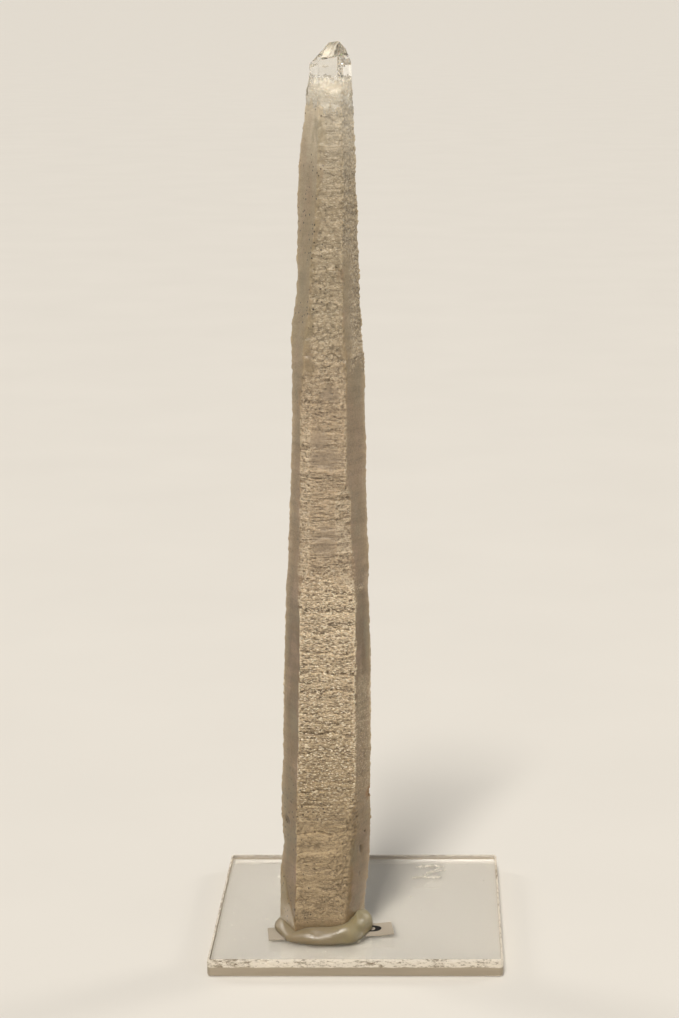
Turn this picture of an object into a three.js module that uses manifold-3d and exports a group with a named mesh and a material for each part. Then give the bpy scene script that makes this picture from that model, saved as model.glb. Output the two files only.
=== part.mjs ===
// A tall quartz crystal set upright in mounting putty on a square acrylic plate, with a paper label under the putty.
// Millimetres, +Z up. The origin is the middle of the plate's underside, and -Y is the front.
import * as THREE from "three";
import { mergeVertices } from "three/addons/utils/BufferGeometryUtils.js";
import Module from "manifold-3d";

const wasm = await Module();
wasm.setup();

// ---- Driving dimensions ----

const PLATE_SIDE = 50;
const PLATE_THICKNESS = 3;
const PLATE_CORNER_RADIUS = 0.8;
const PLATE_CHAMFER = 0.35;
const PLATE_CORNER_STEPS = 3;

const LABEL_LENGTH = 21.6;
const LABEL_WIDTH = 5.1;
const LABEL_THICKNESS = 0.25;
const LABEL_CENTRE_X = -4.65;
const LABEL_CENTRE_Y = -13.0;
const LABEL_YAW_DEG = 6.5;

const FOOT_Z = 4;
const TIP_X = -2.15;
const TIP_Y = -12.6;
const TIP_Z = 154.5;
const PRISM_EDGE_DEG = 60;
const RHOMB_TILT_DEG = 51.8;

const PUTTY_CENTRE_X = -6.1;
const PUTTY_CENTRE_Y = -12.7;
const PUTTY_SEAT_GAP = 0.3;
const PUTTY_STEPS_ROUND = 44;

// ---- The crystal's sections ----

// Six-sided sections from the foot up. Each row holds the height, then the X of the left corner, the front face's
// two corners and the right corner, then the Y of the front face and of the back face.
const SECTIONS = [
  [4.0, -13.3, -10.5, -2.0, 0.7, -17.0, -8.3],
  [8.0, -13.4, -10.5, -1.95, 1.1, -17.1, -8.2],
  [12.5, -13.2, -10.3, -1.9, 1.8, -17.2, -8.0],
  [18.2, -13.1, -10.2, -1.8, 2.25, -17.2, -7.9],
  [18.9, -12.6, -10.1, -1.6, 2.3, -17.2, -7.9],
  [24.0, -12.85, -10.0, -0.6, 2.45, -17.2, -7.8],
  [29.0, -12.75, -9.9, -0.1, 2.45, -17.3, -7.8],
  [36.0, -12.5, -9.5, -0.05, 2.5, -17.3, -7.7],
  [45.0, -12.25, -9.35, 0.0, 2.6, -17.3, -7.7],
  [54.0, -12.0, -9.1, 0.1, 2.6, -17.2, -7.7],
  [64.6, -11.65, -8.95, 0.15, 2.45, -17.2, -7.8],
  [66.8, -11.3, -8.7, -0.8, 2.35, -17.0, -7.9],
  [76.0, -10.85, -8.3, -1.4, 2.2, -17.0, -7.9],
  [84.0, -10.55, -8.2, -1.2, 2.0, -17.0, -8.0],
  [92.0, -10.2, -8.1, -1.2, 1.9, -17.0, -8.1],
  [104.5, -10.1, -8.0, -0.9, 1.9, -16.9, -8.2],
  [107.0, -10.1, -7.6, -1.4, 1.5, -16.9, -8.2],
  [111.2, -9.95, -7.1, -1.5, 1.35, -16.9, -8.2],
  [112.4, -9.4, -6.9, -1.5, 1.25, -16.8, -8.3],
  [119.5, -9.0, -6.5, -1.5, 1.05, -16.8, -8.3],
  [129.0, -9.0, -5.4, -1.4, 0.9, -16.7, -8.4],
  [138.0, -8.3, -5.1, -1.4, 0.65, -16.5, -8.6],
  [143.5, -7.5, -4.95, -1.4, 0.45, -16.2, -8.9],
  [147.0, -7.05, -4.95, -1.3, 0.3, -15.9, -9.2],
  [150.5, -6.45, -4.95, -1.0, 0.1, -15.5, -9.7],
  [157.0, -5.9, -4.8, -1.0, -0.1, -15.2, -10.0],
];

// Strips across each face, counted round from the front face: front, front right, back right, back, back left,
// front left.
const FACE_STRIPS = [7, 3, 3, 5, 3, 3];
const FRONT_FACE = 0;
const BACK_FACE = 3;

// Growth ledges cross every face. Each is a pair of rows LEDGE_RISE apart, where the face steps back as it climbs.
const LEDGE_SPACING_MIN = 1.8;
const LEDGE_SPACING_MAX = 3.8;
const LEDGE_RISE = 0.25;
const LEDGE_WAVE = 0.5;
const SMOOTH_FOOT_Z = 9;
const LAST_LEDGE_Z = 149;

// How far the ledges and lumps stand out of the rough faces (front and back) and of the satin side faces.
const ROUGH_LEDGE = 0.16;
const SATIN_LEDGE = 0.02;
const SCALE_LUMP = 0.13;
const GRAIN_LUMP = 0.07;

// The scaly part of the front face, where lumps are at their biggest.
const SCALES_FROM_Z = 97;
const SCALES_TO_Z = 124;

// Worn bevels on the two front corners: [from z, to z, width], outside which a corner is sharp.
const SHARP_BEVEL = 0.14;
const LEFT_BEVELS = [[68, 98, 1.1]];
const RIGHT_BEVELS = [[10, 24, 1.9], [67, 80, 1.6]];
const BEVEL_RUN_OUT = 2.5;

// Planes that end the crystal: azimuth and tilt of the outward normal, and a point (x, z) on it above TIP_Y.
const TIP_FACES = [
  { azimuth: 262, tilt: RHOMB_TILT_DEG, x: TIP_X, z: TIP_Z },
  { azimuth: 98, tilt: RHOMB_TILT_DEG, x: TIP_X, z: TIP_Z },
  { azimuth: 210, tilt: RHOMB_TILT_DEG, x: TIP_X - 1.15, z: TIP_Z },
  { azimuth: 150, tilt: RHOMB_TILT_DEG, x: TIP_X - 1.15, z: TIP_Z },
  { azimuth: 330, tilt: RHOMB_TILT_DEG, x: TIP_X + 0.25, z: TIP_Z },
  { azimuth: 30, tilt: RHOMB_TILT_DEG, x: TIP_X + 0.25, z: TIP_Z },
  { azimuth: 0, tilt: 67, x: TIP_X + 1.45, z: TIP_Z - 1.5 },
];
const CUTTER_SIDE = 40;

// Scoops out of the surface: a chip low on the left face, then three pits down the corroded right corner.
const SCOOPS = [
  { x: -12.7, y: -14.6, z: 24.9, radius: 1.15 },
  { x: 2.35, y: -12.9, z: 28.6, radius: 0.75 },
  { x: 1.35, y: -15.9, z: 27.0, radius: 0.45 },
  { x: 1.85, y: -14.9, z: 25.6, radius: 0.5 },
];

// ---- Small tools ----

const radians = THREE.MathUtils.degToRad;
const lerp = THREE.MathUtils.lerp;

// A repeatable pseudo-random number from 0 to 1 for a pair of whole numbers.
function scatter(a, b) {
  const wave = Math.sin(a * 127.1 + b * 311.7 + 17.3) * 43758.5453;
  return wave - Math.floor(wave);
}

// The same, from -1 to 1.
function jitter(a, b) {
  return 2 * scatter(a, b) - 1;
}

// A smooth wave round a ring, from -1 to 1, that differs from seed to seed. turn runs from 0 to 1 round the ring.
function wander(turn, seed) {
  const broad = Math.sin(2 * Math.PI * 4 * turn + seed * 1.7);
  const narrow = Math.sin(2 * Math.PI * 10 * turn + seed * 4.1);
  return 0.6 * broad + 0.4 * narrow;
}

// 1 between from and to, falling to 0 over runOut on either side.
function plateau(z, from, to, runOut) {
  const rise = THREE.MathUtils.smoothstep(z, from - runOut, from);
  const fall = THREE.MathUtils.smoothstep(z, to, to + runOut);
  return rise * (1 - fall);
}

// A closed body through rings of equal length, each ring running counter-clockwise seen from above, lowest first.
function loft(rings) {
  const count = rings[0].length;
  const positions = [];
  const faces = [];
  for (const ring of rings) {
    for (const point of ring) {
      positions.push(point.x, point.y, point.z);
    }
  }
  for (let row = 0; row + 1 < rings.length; row++) {
    for (let i = 0; i < count; i++) {
      const next = (i + 1) % count;
      const low = row * count;
      const high = low + count;
      faces.push(low + i, low + next, high + next);
      faces.push(low + i, high + next, high + i);
    }
  }
  const addCap = (ring, first, facesUp) => {
    const middle = new THREE.Vector3();
    for (const point of ring) {
      middle.addScaledVector(point, 1 / count);
    }
    const centre = positions.length / 3;
    positions.push(middle.x, middle.y, middle.z);
    for (let i = 0; i < count; i++) {
      const here = first + i;
      const next = first + ((i + 1) % count);
      faces.push(centre, facesUp ? here : next, facesUp ? next : here);
    }
  };
  addCap(rings[0], 0, false);
  addCap(rings[rings.length - 1], (rings.length - 1) * count, true);
  const geometry = new THREE.BufferGeometry();
  geometry.setAttribute("position", new THREE.Float32BufferAttribute(positions, 3));
  geometry.setIndex(faces);
  return geometry;
}

// A manifold solid from a closed geometry, moved by an optional matrix.
function toSolid(geometry, matrix = new THREE.Matrix4()) {
  const bare = geometry.clone();
  bare.deleteAttribute("normal");
  bare.deleteAttribute("uv");
  bare.applyMatrix4(matrix);
  const merged = mergeVertices(bare, 1e-4);
  const mesh = new wasm.Mesh({
    numProp: 3,
    vertProperties: new Float32Array(merged.attributes.position.array),
    triVerts: new Uint32Array(merged.index.array),
  });
  return new wasm.Manifold(mesh);
}

// The geometry of a manifold solid.
function toGeometry(solid) {
  const mesh = solid.getMesh();
  const geometry = new THREE.BufferGeometry();
  geometry.setAttribute("position", new THREE.BufferAttribute(new Float32Array(mesh.vertProperties), 3));
  geometry.setIndex(new THREE.BufferAttribute(new Uint32Array(mesh.triVerts), 1));
  geometry.computeVertexNormals();
  return geometry;
}

function placedAt(x, y, z) {
  return new THREE.Matrix4().makeTranslation(x, y, z);
}

function namedMesh(name, geometry, colour, roughness) {
  const material = new THREE.MeshStandardMaterial({ color: colour, roughness, metalness: 0 });
  const mesh = new THREE.Mesh(geometry, material);
  mesh.name = name;
  return mesh;
}

// ---- The base plate ----

function plateGeometry() {
  const half = PLATE_SIDE / 2 - PLATE_CHAMFER;
  const radius = PLATE_CORNER_RADIUS;
  const outline = new THREE.Shape();
  outline.moveTo(-half + radius, -half);
  outline.lineTo(half - radius, -half);
  outline.absarc(half - radius, -half + radius, radius, -Math.PI / 2, 0);
  outline.lineTo(half, half - radius);
  outline.absarc(half - radius, half - radius, radius, 0, Math.PI / 2);
  outline.lineTo(-half + radius, half);
  outline.absarc(-half + radius, half - radius, radius, Math.PI / 2, Math.PI);
  outline.lineTo(-half, -half + radius);
  outline.absarc(-half + radius, -half + radius, radius, Math.PI, 1.5 * Math.PI);
  const geometry = new THREE.ExtrudeGeometry(outline, {
    depth: PLATE_THICKNESS - 2 * PLATE_CHAMFER,
    bevelThickness: PLATE_CHAMFER,
    bevelSize: PLATE_CHAMFER,
    bevelSegments: 1,
    curveSegments: PLATE_CORNER_STEPS,
  });
  return toGeometry(toSolid(geometry, placedAt(0, 0, PLATE_CHAMFER)));
}

// ---- The label ----

function labelGeometry(margin) {
  return new THREE.BoxGeometry(LABEL_LENGTH + 2 * margin, LABEL_WIDTH + 2 * margin, LABEL_THICKNESS);
}

const LABEL_MIDDLE_Z = PLATE_THICKNESS + LABEL_THICKNESS / 2;

function labelMatrix() {
  const turn = new THREE.Matrix4().makeRotationZ(radians(LABEL_YAW_DEG));
  return placedAt(LABEL_CENTRE_X, LABEL_CENTRE_Y, LABEL_MIDDLE_Z).multiply(turn);
}

// ---- The crystal ----

// The section at a height, every face moved out by grow.
function sectionAt(z, grow = 0) {
  let row = 0;
  while (row + 2 < SECTIONS.length && SECTIONS[row + 1][0] < z) {
    row++;
  }
  const low = SECTIONS[row];
  const high = SECTIONS[row + 1];
  const t = THREE.MathUtils.clamp((z - low[0]) / (high[0] - low[0]), 0, 1);
  const [, left, frontLeft, frontRight, right, front, back] = low.map((value, i) => lerp(value, high[i], t));
  const slant = Math.tan(radians(PRISM_EDGE_DEG));
  const along = grow * Math.tan(radians(PRISM_EDGE_DEG / 2));
  const corner = grow / Math.cos(radians(PRISM_EDGE_DEG / 2));
  return {
    slant,
    left: left - corner,
    right: right + corner,
    frontLeft: frontLeft - along,
    frontRight: frontRight + along,
    front: front - grow,
    back: back + grow,
  };
}

// The six corners of a section, counter-clockwise from the front left one. Faces meet at 120 degrees, as in quartz.
function cornersAt(z, grow = 0) {
  const s = sectionAt(z, grow);
  const leftY = s.front + (s.frontLeft - s.left) * s.slant;
  const rightY = s.front + (s.right - s.frontRight) * s.slant;
  const backLeft = s.left + (s.back - leftY) / s.slant;
  const backRight = s.right - (s.back - rightY) / s.slant;
  return [
    new THREE.Vector2(s.frontLeft, s.front),
    new THREE.Vector2(s.frontRight, s.front),
    new THREE.Vector2(s.right, rightY),
    new THREE.Vector2(backRight, s.back),
    new THREE.Vector2(backLeft, s.back),
    new THREE.Vector2(s.left, leftY),
  ];
}

function bevelWidth(corner, z) {
  const worn = corner === 0 ? LEFT_BEVELS : corner === 1 ? RIGHT_BEVELS : [];
  let width = SHARP_BEVEL;
  for (const [from, to, most] of worn) {
    width = Math.max(width, most * plateau(z, from, to, BEVEL_RUN_OUT));
  }
  return width;
}

// Heights of the growth ledges, foot to tip.
function ledgeHeights() {
  const heights = [SMOOTH_FOOT_Z];
  for (let i = 0; heights[i] < LAST_LEDGE_Z; i++) {
    heights.push(heights[i] + lerp(LEDGE_SPACING_MIN, LEDGE_SPACING_MAX, scatter(i, 3)));
  }
  return heights.filter((z) => z <= LAST_LEDGE_Z);
}

// How far a point of a face stands out: side is -1 just above a ledge and 1 just below one.
function relief(face, column, row, side, z) {
  const rough = face === FRONT_FACE || face === BACK_FACE;
  const ledge = (rough ? ROUGH_LEDGE : SATIN_LEDGE) * side * (0.35 + scatter(row + 11, face));
  const scales = SCALE_LUMP * plateau(z, SCALES_FROM_Z, SCALES_TO_Z, 3);
  const lump = rough ? (GRAIN_LUMP + scales) * jitter(row * 7 + face, column * 5 + 1) : 0;
  return (ledge + lump) * THREE.MathUtils.smoothstep(z, SMOOTH_FOOT_Z - 0.5, SMOOTH_FOOT_Z + 3);
}

// One ring of the crystal. side is as in relief, or 0 for a ring without relief.
function crystalRing(z, row, side) {
  const corners = cornersAt(z);
  const ring = [];
  FACE_STRIPS.forEach((strips, face) => {
    const start = corners[face];
    const end = corners[(face + 1) % corners.length];
    const length = start.distanceTo(end);
    const outward = new THREE.Vector2(end.y - start.y, start.x - end.x).normalize();
    for (let column = 0; column <= strips; column++) {
      const from = bevelWidth(face, z) / length;
      const to = 1 - bevelWidth((face + 1) % corners.length, z) / length;
      const u = lerp(from, to, column / strips);
      const out = side === 0 ? 0 : relief(face, column, row, side, z);
      const point = start.clone().lerp(end, u).addScaledVector(outward, out);
      const wave = side === 0 ? 0 : LEDGE_WAVE * wander((face + u) / FACE_STRIPS.length, row);
      ring.push(new THREE.Vector3(point.x, point.y, z + wave));
    }
  });
  return ring;
}

function crystalGeometry() {
  const rings = [crystalRing(FOOT_Z, 0, 0)];
  ledgeHeights().forEach((z, row) => {
    rings.push(crystalRing(z - LEDGE_RISE / 2, row, 1));
    rings.push(crystalRing(z + LEDGE_RISE / 2, row, -1));
  });
  rings.push(crystalRing(SECTIONS[SECTIONS.length - 1][0], 0, 0));
  let crystal = toSolid(loft(rings));
  const up = new THREE.Vector3(0, 0, 1);
  const cutter = new THREE.BoxGeometry(CUTTER_SIDE, CUTTER_SIDE, CUTTER_SIDE);
  for (const face of TIP_FACES) {
    const flat = new THREE.Vector3(Math.cos(radians(face.azimuth)), Math.sin(radians(face.azimuth)), 0);
    const normal = flat.multiplyScalar(Math.sin(radians(face.tilt)));
    normal.z = Math.cos(radians(face.tilt));
    const middle = new THREE.Vector3(face.x, TIP_Y, face.z).addScaledVector(normal, CUTTER_SIDE / 2);
    const turn = new THREE.Quaternion().setFromUnitVectors(up, normal);
    const matrix = new THREE.Matrix4().compose(middle, turn, new THREE.Vector3(1, 1, 1));
    crystal = crystal.subtract(toSolid(cutter, matrix));
  }
  for (const scoop of SCOOPS) {
    const ball = new THREE.IcosahedronGeometry(scoop.radius, 1);
    crystal = crystal.subtract(toSolid(ball, placedAt(scoop.x, scoop.y, scoop.z)));
  }
  return toGeometry(crystal);
}

// ---- The mounting putty ----

// The putty's height above the plate, and how far it spreads past the crystal, by compass angle from +X.
const PUTTY_OUTLINE = [
  { angle: 0, height: 4.6, spread: 2.0 },
  { angle: 45, height: 3.9, spread: 1.7 },
  { angle: 90, height: 3.1, spread: 1.8 },
  { angle: 135, height: 3.3, spread: 1.7 },
  { angle: 180, height: 3.4, spread: 1.4 },
  { angle: 225, height: 2.3, spread: 1.7 },
  { angle: 270, height: 1.9, spread: 2.2 },
  { angle: 315, height: 3.4, spread: 2.2 },
];

// The putty's profile from the plate up: how much of the spread and of the height is reached at each ring.
const PUTTY_PROFILE = [
  { out: 0.9, up: 0 },
  { out: 1, up: 0.22 },
  { out: 0.97, up: 0.5 },
  { out: 0.78, up: 0.78 },
  { out: 0.45, up: 0.95 },
  { out: 0, up: 1 },
];

function puttyAt(degrees) {
  const step = 360 / PUTTY_OUTLINE.length;
  const place = (degrees / step) % PUTTY_OUTLINE.length;
  const low = PUTTY_OUTLINE[Math.floor(place)];
  const high = PUTTY_OUTLINE[(Math.floor(place) + 1) % PUTTY_OUTLINE.length];
  const t = THREE.MathUtils.smootherstep(place - Math.floor(place), 0, 1);
  return { height: lerp(low.height, high.height, t), spread: lerp(low.spread, high.spread, t) };
}

// Distance from the putty's centre to the crystal's foot along a compass direction.
function footReach(direction) {
  const corners = cornersAt(FOOT_Z + 1);
  const centre = new THREE.Vector2(PUTTY_CENTRE_X, PUTTY_CENTRE_Y);
  let reach = Infinity;
  corners.forEach((start, i) => {
    const end = corners[(i + 1) % corners.length];
    const outward = new THREE.Vector2(end.y - start.y, start.x - end.x).normalize();
    const facing = outward.dot(direction);
    if (facing > 1e-6) {
      reach = Math.min(reach, start.clone().sub(centre).dot(outward) / facing);
    }
  });
  return reach;
}

function puttyGeometry() {
  const rings = PUTTY_PROFILE.map(({ out, up }) => {
    const ring = [];
    for (let i = 0; i < PUTTY_STEPS_ROUND; i++) {
      const degrees = (360 * i) / PUTTY_STEPS_ROUND;
      const { height, spread } = puttyAt(degrees);
      const direction = new THREE.Vector2(Math.cos(radians(degrees)), Math.sin(radians(degrees)));
      const reach = footReach(direction) + spread * out;
      const x = PUTTY_CENTRE_X + reach * direction.x;
      const y = PUTTY_CENTRE_Y + reach * direction.y;
      ring.push(new THREE.Vector3(x, y, PLATE_THICKNESS + height * up));
    }
    return ring;
  });
  const mound = toSolid(loft(rings));
  const pocketHeights = [FOOT_Z - PUTTY_SEAT_GAP, SECTIONS[1][0], SECTIONS[2][0]];
  const pocketRings = pocketHeights.map((z) => {
    const corners = cornersAt(z, PUTTY_SEAT_GAP);
    return corners.map((corner) => new THREE.Vector3(corner.x, corner.y, z));
  });
  const pocket = toSolid(loft(pocketRings));
  const labelSlot = toSolid(labelGeometry(PUTTY_SEAT_GAP), labelMatrix());
  return toGeometry(mound.subtract(pocket).subtract(labelSlot));
}

// ---- The specimen ----

const specimen = new THREE.Group();
specimen.add(namedMesh("acrylic_base", plateGeometry(), 0xdfe6e4, 0.08));

const label = namedMesh("paper_label", labelGeometry(0), 0xe6e1d6, 0.85);
label.position.set(LABEL_CENTRE_X, LABEL_CENTRE_Y, LABEL_MIDDLE_Z);
label.rotation.z = radians(LABEL_YAW_DEG);
specimen.add(label);

specimen.add(namedMesh("mounting_putty", puttyGeometry(), 0xcfc7a8, 0.35));
specimen.add(namedMesh("quartz_crystal", crystalGeometry(), 0xd9ccb4, 0.45));

export default specimen;
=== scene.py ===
import math

import bpy
from mathutils import Matrix, Vector, noise


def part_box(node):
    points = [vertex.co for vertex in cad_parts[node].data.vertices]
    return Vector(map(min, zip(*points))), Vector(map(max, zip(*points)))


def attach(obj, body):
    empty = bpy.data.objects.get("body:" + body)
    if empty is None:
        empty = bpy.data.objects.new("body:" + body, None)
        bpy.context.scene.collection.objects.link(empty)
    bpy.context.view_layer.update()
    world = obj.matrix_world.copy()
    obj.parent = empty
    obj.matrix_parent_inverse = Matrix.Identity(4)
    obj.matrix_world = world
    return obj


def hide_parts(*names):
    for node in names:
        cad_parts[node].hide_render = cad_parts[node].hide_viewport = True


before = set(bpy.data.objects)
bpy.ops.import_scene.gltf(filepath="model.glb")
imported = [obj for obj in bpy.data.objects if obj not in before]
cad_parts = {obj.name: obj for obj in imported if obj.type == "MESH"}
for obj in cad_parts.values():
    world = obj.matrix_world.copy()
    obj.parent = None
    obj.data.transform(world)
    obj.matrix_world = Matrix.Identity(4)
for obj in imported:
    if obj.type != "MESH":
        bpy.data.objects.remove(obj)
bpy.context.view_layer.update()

# A quartz crystal standing in mounting putty on a clear acrylic plate, with a paper label under its foot.
# Blender's units are metres; sizes here are written in millimetres and multiplied by MM.

MM = 0.001
plate_low, plate_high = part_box("acrylic_base")
crystal_low, crystal_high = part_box("quartz_crystal")
PLATE_TOP = plate_high.z


# ---- Working by hand: selecting, editing, applying ----


def select_only(piece):
    bpy.ops.object.select_all(action="DESELECT")
    piece.select_set(True)
    bpy.context.view_layer.objects.active = piece


def name_new_piece(name):
    piece = bpy.context.object
    piece.name = name
    piece.data.name = name
    return piece


def settle(piece):
    """Leaves the piece's object at the origin, with its place, turn and size in its mesh."""
    select_only(piece)
    bpy.ops.object.transform_apply(location=True, rotation=True, scale=True)


def add_object(name, data):
    """A new object in the scene that shows this data."""
    made = bpy.data.objects.new(name, data)
    bpy.context.scene.collection.objects.link(made)
    return made


def edit(piece, mode="VERT", choose="DESELECT"):
    """Opens the piece for editing, with nothing selected, or all of it where choose is SELECT."""
    select_only(piece)
    bpy.ops.object.mode_set(mode="EDIT")
    bpy.ops.mesh.select_mode(type=mode)
    bpy.ops.mesh.select_all(action=choose)


def done():
    bpy.ops.object.mode_set(mode="OBJECT")


def pick_faces(piece, wanted):
    """Selects the faces that wanted(face) is true for, and leaves the piece open for editing."""
    edit(piece, "FACE")
    done()
    for face in piece.data.polygons:
        face.select = wanted(face)
    bpy.ops.object.mode_set(mode="EDIT")


def pick_edges(piece, wanted):
    """Selects the edges that wanted(end, end) is true for, and leaves the piece open for editing."""
    edit(piece, "EDGE")
    done()
    points = piece.data.vertices
    for line in piece.data.edges:
        line.select = wanted(points[line.vertices[0]].co, points[line.vertices[1]].co)
    bpy.ops.object.mode_set(mode="EDIT")


def start_from(solid, name):
    """A new piece that starts as a copy of the frame's solid, with its doubled corners merged."""
    piece = add_object(name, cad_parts[solid].data.copy())
    piece.data.name = name
    edit(piece, choose="SELECT")
    bpy.ops.mesh.remove_doubles(threshold=0.001 * MM)
    done()
    return piece


def offset_skin(piece, distance):
    """Moves the whole skin outward by this many mm, or inward where it is below 0."""
    edit(piece, choose="SELECT")
    bpy.ops.transform.shrink_fatten(value=distance * MM)
    done()


def cut_level(piece, height, **side):
    """Cuts the piece off level at this height in metres, and closes it."""
    edit(piece, choose="SELECT")
    bpy.ops.mesh.bisect(plane_co=(0, 0, height), plane_no=(0, 0, 1), use_fill=True, **side)
    done()


def dress(piece, *materials):
    """Gives the piece these materials in place of any that it has."""
    piece.data.materials.clear()
    for material in materials:
        piece.data.materials.append(material)


def apply(piece, kind, **settings):
    """Adds a modifier, sets it and applies it."""
    select_only(piece)
    modifier = piece.modifiers.new(kind.lower(), kind)
    for key, value in settings.items():
        setattr(modifier, key, value)
    bpy.ops.object.modifier_apply(modifier=modifier.name)


def smooth_but_keep_edges(piece, degrees):
    select_only(piece)
    bpy.ops.object.shade_smooth_by_angle(angle=math.radians(degrees))


def join(pieces, name):
    bpy.ops.object.select_all(action="DESELECT")
    for piece in pieces:
        piece.select_set(True)
    bpy.context.view_layer.objects.active = pieces[0]
    bpy.ops.object.join()
    return name_new_piece(name)


def weigh(piece, group, weight_at):
    """Fills a vertex group with weight_at(place in mm, normal), and a surface attribute for the materials."""
    marks = piece.vertex_groups.new(name=group)
    values = []
    for point in piece.data.vertices:
        weight = min(1.0, max(0.0, weight_at(point.co / MM, point.normal)))
        marks.add([point.index], weight, "REPLACE")
        values.append(weight)
    layer = piece.data.attributes.new(name=group + " amount", type="FLOAT", domain="POINT")
    layer.data.foreach_set("value", values)


def carve(piece, kind, grain, depth, group, low=None, high=None, **settings):
    """Displaces the piece by a procedural texture.

    grain is the pattern's size along X, Y and Z, and depth the height from its lowest to its highest place,
    both in mm. low and high clip the pattern's values."""
    texture = bpy.data.textures.new(kind.lower(), type=kind)
    texture.noise_scale = 1.0
    for key, value in settings.items():
        setattr(texture, key, value)
    if low is not None:
        texture.use_color_ramp = True
        texture.color_ramp.elements[0].position = low
        texture.color_ramp.elements[0].color = (0, 0, 0, 1)
        texture.color_ramp.elements[1].position = high
        texture.color_ramp.elements[1].color = (1, 1, 1, 1)
    guide = add_object("guide", None)
    guide.scale = Vector(grain) * MM
    bpy.context.view_layer.update()
    apply(
        piece,
        "DISPLACE",
        texture=texture,
        texture_coords="OBJECT",
        texture_coords_object=guide,
        strength=depth * MM,
        mid_level=0.5,
        vertex_group=group,
    )
    bpy.data.objects.remove(guide)
    bpy.data.textures.remove(texture)


def carve_cells(piece, grain, depth, group, high):
    """Carves rounded cells. high is how far from a cell's border its top begins."""
    carve(piece, "VORONOI", grain, depth, group, low=0.0, high=high, weight_1=-1.0, weight_2=1.0)


def ramp(value, start, end):
    """0 at start, 1 at end, eased between them. start may be above end."""
    t = min(1.0, max(0.0, (value - start) / (end - start)))
    return t * t * (3 - 2 * t)


def band(value, start, end, ease):
    """1 between start and end, fading to 0 over ease on either side."""
    return ramp(value, start - ease, start) * ramp(value, end + ease, end)


# ---- Materials ----


def fill(tree, socket, value):
    """Links the socket to another one, or sets it to a plain value."""
    if isinstance(value, bpy.types.NodeSocket):
        tree.links.new(value, socket)
    else:
        socket.default_value = value


def plug(tree, made, **inputs):
    """Sets or links a node's inputs, named with underscores for spaces."""
    for key, value in inputs.items():
        fill(tree, made.inputs[key.replace("_", " ")], value)


def node(tree, kind, settings=None, **inputs):
    """Adds a shader node. Its inputs are plain values or sockets."""
    made = tree.nodes.new(kind)
    for key, value in (settings or {}).items():
        setattr(made, key, value)
    plug(tree, made, **inputs)
    return made


def calculate(tree, operation, first, second=0.0, third=0.0, clamp=False):
    made = tree.nodes.new("ShaderNodeMath")
    made.operation = operation
    made.use_clamp = clamp
    for socket, value in zip(made.inputs, (first, second, third)):
        fill(tree, socket, value)
    return made.outputs[0]


def times(tree, product, *values):
    """All of the values multiplied together."""
    for value in values:
        product = calculate(tree, "MULTIPLY", product, value)
    return product


def remap(tree, value, from_low, from_high, to_low=0.0, to_high=1.0):
    made = node(
        tree,
        "ShaderNodeMapRange",
        {"interpolation_type": "SMOOTHSTEP"},
        Value=value,
        From_Min=from_low,
        From_Max=from_high,
        To_Min=to_low,
        To_Max=to_high,
    )
    return made.outputs["Result"]


def blend(tree, factor, first, second):
    """The first value where factor is 0, the second where it is 1."""
    made = tree.nodes.new("ShaderNodeMix")
    for index, value in ((0, factor), (2, first), (3, second)):
        fill(tree, made.inputs[index], value)
    return made.outputs[0]


def mix_colour(tree, factor, first, second):
    """The first colour where factor is 0, the second where it is 1."""
    made = tree.nodes.new("ShaderNodeMix")
    made.data_type = "RGBA"
    for index, value in ((0, factor), (6, first), (7, second)):
        fill(tree, made.inputs[index], value)
    return made.outputs[2]


def paint_over(tree, colour, *layers):
    """Lays each (amount, red, green, blue) over the colour in turn."""
    for amount, *paint in layers:
        colour = mix_colour(tree, amount, colour, srgb(*paint))
    return colour


def srgb(red, green, blue):
    """A colour from 0 to 255 screen values."""

    def linear(value):
        value /= 255
        return value / 12.92 if value <= 0.04045 else ((value + 0.055) / 1.055) ** 2.4

    return (linear(red), linear(green), linear(blue), 1.0)


def place_in_mm(tree, scale=(1, 1, 1), shift=(0, 0, 0)):
    """The place on the piece in millimetres, stretched by scale and moved by shift."""
    place = node(tree, "ShaderNodeTexCoord").outputs["Object"]
    mapping = node(tree, "ShaderNodeMapping", Vector=place)
    mapping.inputs["Scale"].default_value = Vector(scale) / MM
    mapping.inputs["Location"].default_value = shift
    return mapping.outputs["Vector"]


def place_along(tree, axis):
    """The place along X, Y or Z in millimetres."""
    return node(tree, "ShaderNodeSeparateXYZ", Vector=place_in_mm(tree)).outputs[axis]


def clouds(tree, stretch=(1, 1, 1), scale=1.0, detail=3.0, output="Fac", **inputs):
    """Soft noise from 0 to 1, with scale lumps per mm, stretched along X, Y and Z."""
    place = place_in_mm(tree, stretch)
    made = node(tree, "ShaderNodeTexNoise", Vector=place, Scale=scale, Detail=detail, **inputs)
    return made.outputs[output]


def warped_place(tree, stretch, push, **inputs):
    """The stretched place in mm, pushed about by noise so that no pattern laid on it runs straight."""
    moved = node(tree, "ShaderNodeVectorMath", {"operation": "MULTIPLY_ADD"})
    warp = clouds(tree, output="Color", **inputs)
    for socket, value in zip(moved.inputs, (warp, push, place_in_mm(tree, stretch))):
        fill(tree, socket, value)
    return moved.outputs[0]


def cells(tree, feature, place, scale=1.0):
    """A pattern of cells, such as grains, crumbs or specks."""
    return node(tree, "ShaderNodeTexVoronoi", {"feature": feature}, Vector=place, Scale=scale)


def attribute(tree, name):
    made = tree.nodes.new("ShaderNodeAttribute")
    made.attribute_name = name
    return made.outputs["Fac"]


def new_material(name):
    material = bpy.data.materials.new(name)
    material.use_nodes = True
    tree = material.node_tree
    tree.nodes.clear()
    output = node(tree, "ShaderNodeOutputMaterial")
    surface = node(tree, "ShaderNodeBsdfPrincipled")
    tree.links.new(surface.outputs["BSDF"], output.inputs["Surface"])
    return material, tree, surface


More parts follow.
